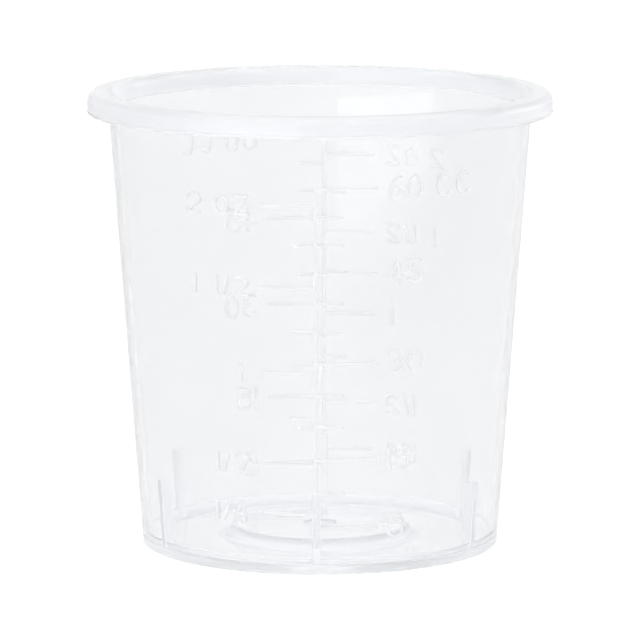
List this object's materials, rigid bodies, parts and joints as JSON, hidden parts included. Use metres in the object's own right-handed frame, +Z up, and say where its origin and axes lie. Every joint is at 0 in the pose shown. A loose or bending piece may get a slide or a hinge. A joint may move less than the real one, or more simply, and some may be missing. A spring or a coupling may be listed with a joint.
{
  "type": "medicine cup",
  "caption": "Clear moulded medicine cup with a turned-down lip, tapered wall, raised floor disc, stacking ribs and dose scales for millilitres and fluid ounces.",
  "frame": {"origin": "centre of the standing face, on the cup's axis", "axes": "+Z up along the cup's axis, towards the mouth; one dose scale reads towards -Y and its twin towards +Y"},
  "size_m": [0.053, 0.053, 0.052],
  "materials": {
    "clear_polypropylene": "gloss, slightly milky"
  },
  "bodies": {
    "root": {"cup": "clear_polypropylene"}
  },
  "joints": []
}
